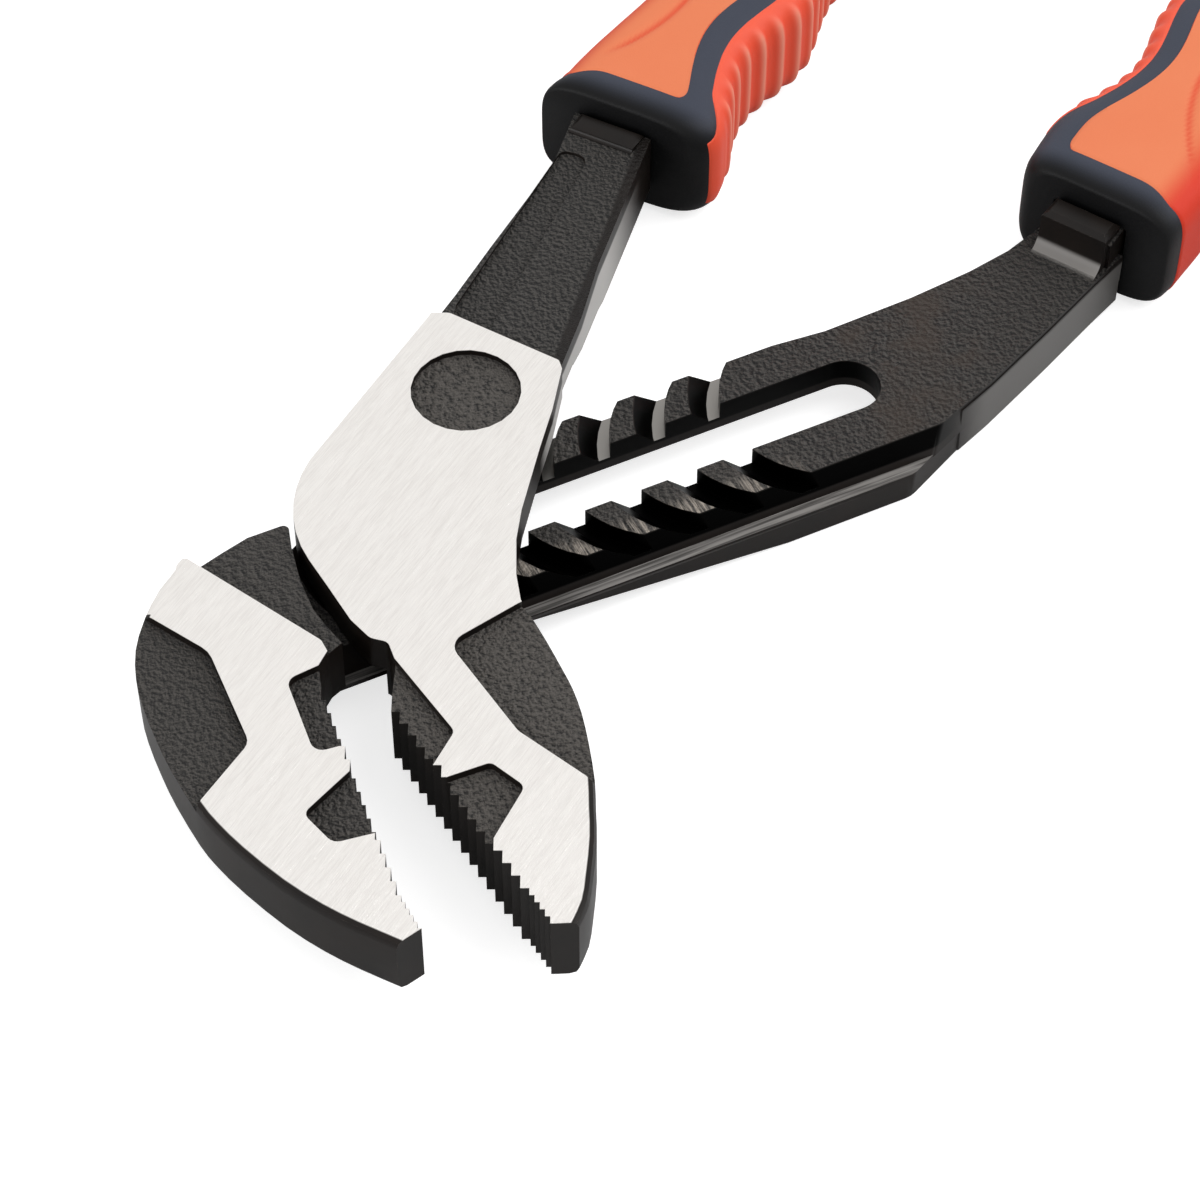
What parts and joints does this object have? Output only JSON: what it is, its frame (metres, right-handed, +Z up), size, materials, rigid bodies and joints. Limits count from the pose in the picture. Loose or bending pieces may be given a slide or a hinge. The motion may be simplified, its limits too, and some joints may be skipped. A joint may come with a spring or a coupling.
{
  "type": "water pump pliers",
  "caption": "Adjustable water pump pliers: toothed jaws, a tongue that steps along grooves beside a slot, and moulded two-tone grips.",
  "frame": {"origin": "end face of the pivot stud, on the pivot's axis, where the pliers rest on their back", "axes": "+X along the slot from the jaws to the handles, +Y across the slot towards the tongue lever's handle, +Z up out of the front face"},
  "size_m": [0.2581, 0.1993, 0.019],
  "materials": {
    "black_steel": "forged steel with a black oxide finish, worn bright on the rail edges",
    "ground_steel": "forged steel with the front face ground bright",
    "turned_steel": "turned steel",
    "navy_rubber": "moulded dark navy grip rubber, fine matt texture",
    "orange_rubber": "overmoulded orange grip rubber, satin",
    "red_rubber": "ribbed red-orange grip rubber, satin"
  },
  "bodies": {
    "slotted_half": {"slotted_lever": "black_steel", "slotted_grip_sleeve": "navy_rubber", "slotted_palm_cover": "orange_rubber", "slotted_finger_pad": "red_rubber"},
    "slider": {"slide_bush": "turned_steel"},
    "tongue_half": {"tongue_lever": "ground_steel", "pivot_stud": "turned_steel", "pivot_nut": "black_steel", "tongue_grip_sleeve": "navy_rubber", "tongue_palm_cover": "orange_rubber", "tongue_finger_pad": "red_rubber"}
  },
  "joints": [
    {"name": "jaw_setting", "type": "slide", "parent": "slotted_half", "child": "slider", "axis": [1, 0, 0], "range_m": [0, 0.0504]},
    {"name": "handle_hinge", "type": "hinge", "parent": "slider", "child": "tongue_half", "pos_m": [0, 0, 0.00945], "axis": [0, 0, 1], "range_deg": [-10, 40]}
  ]
}
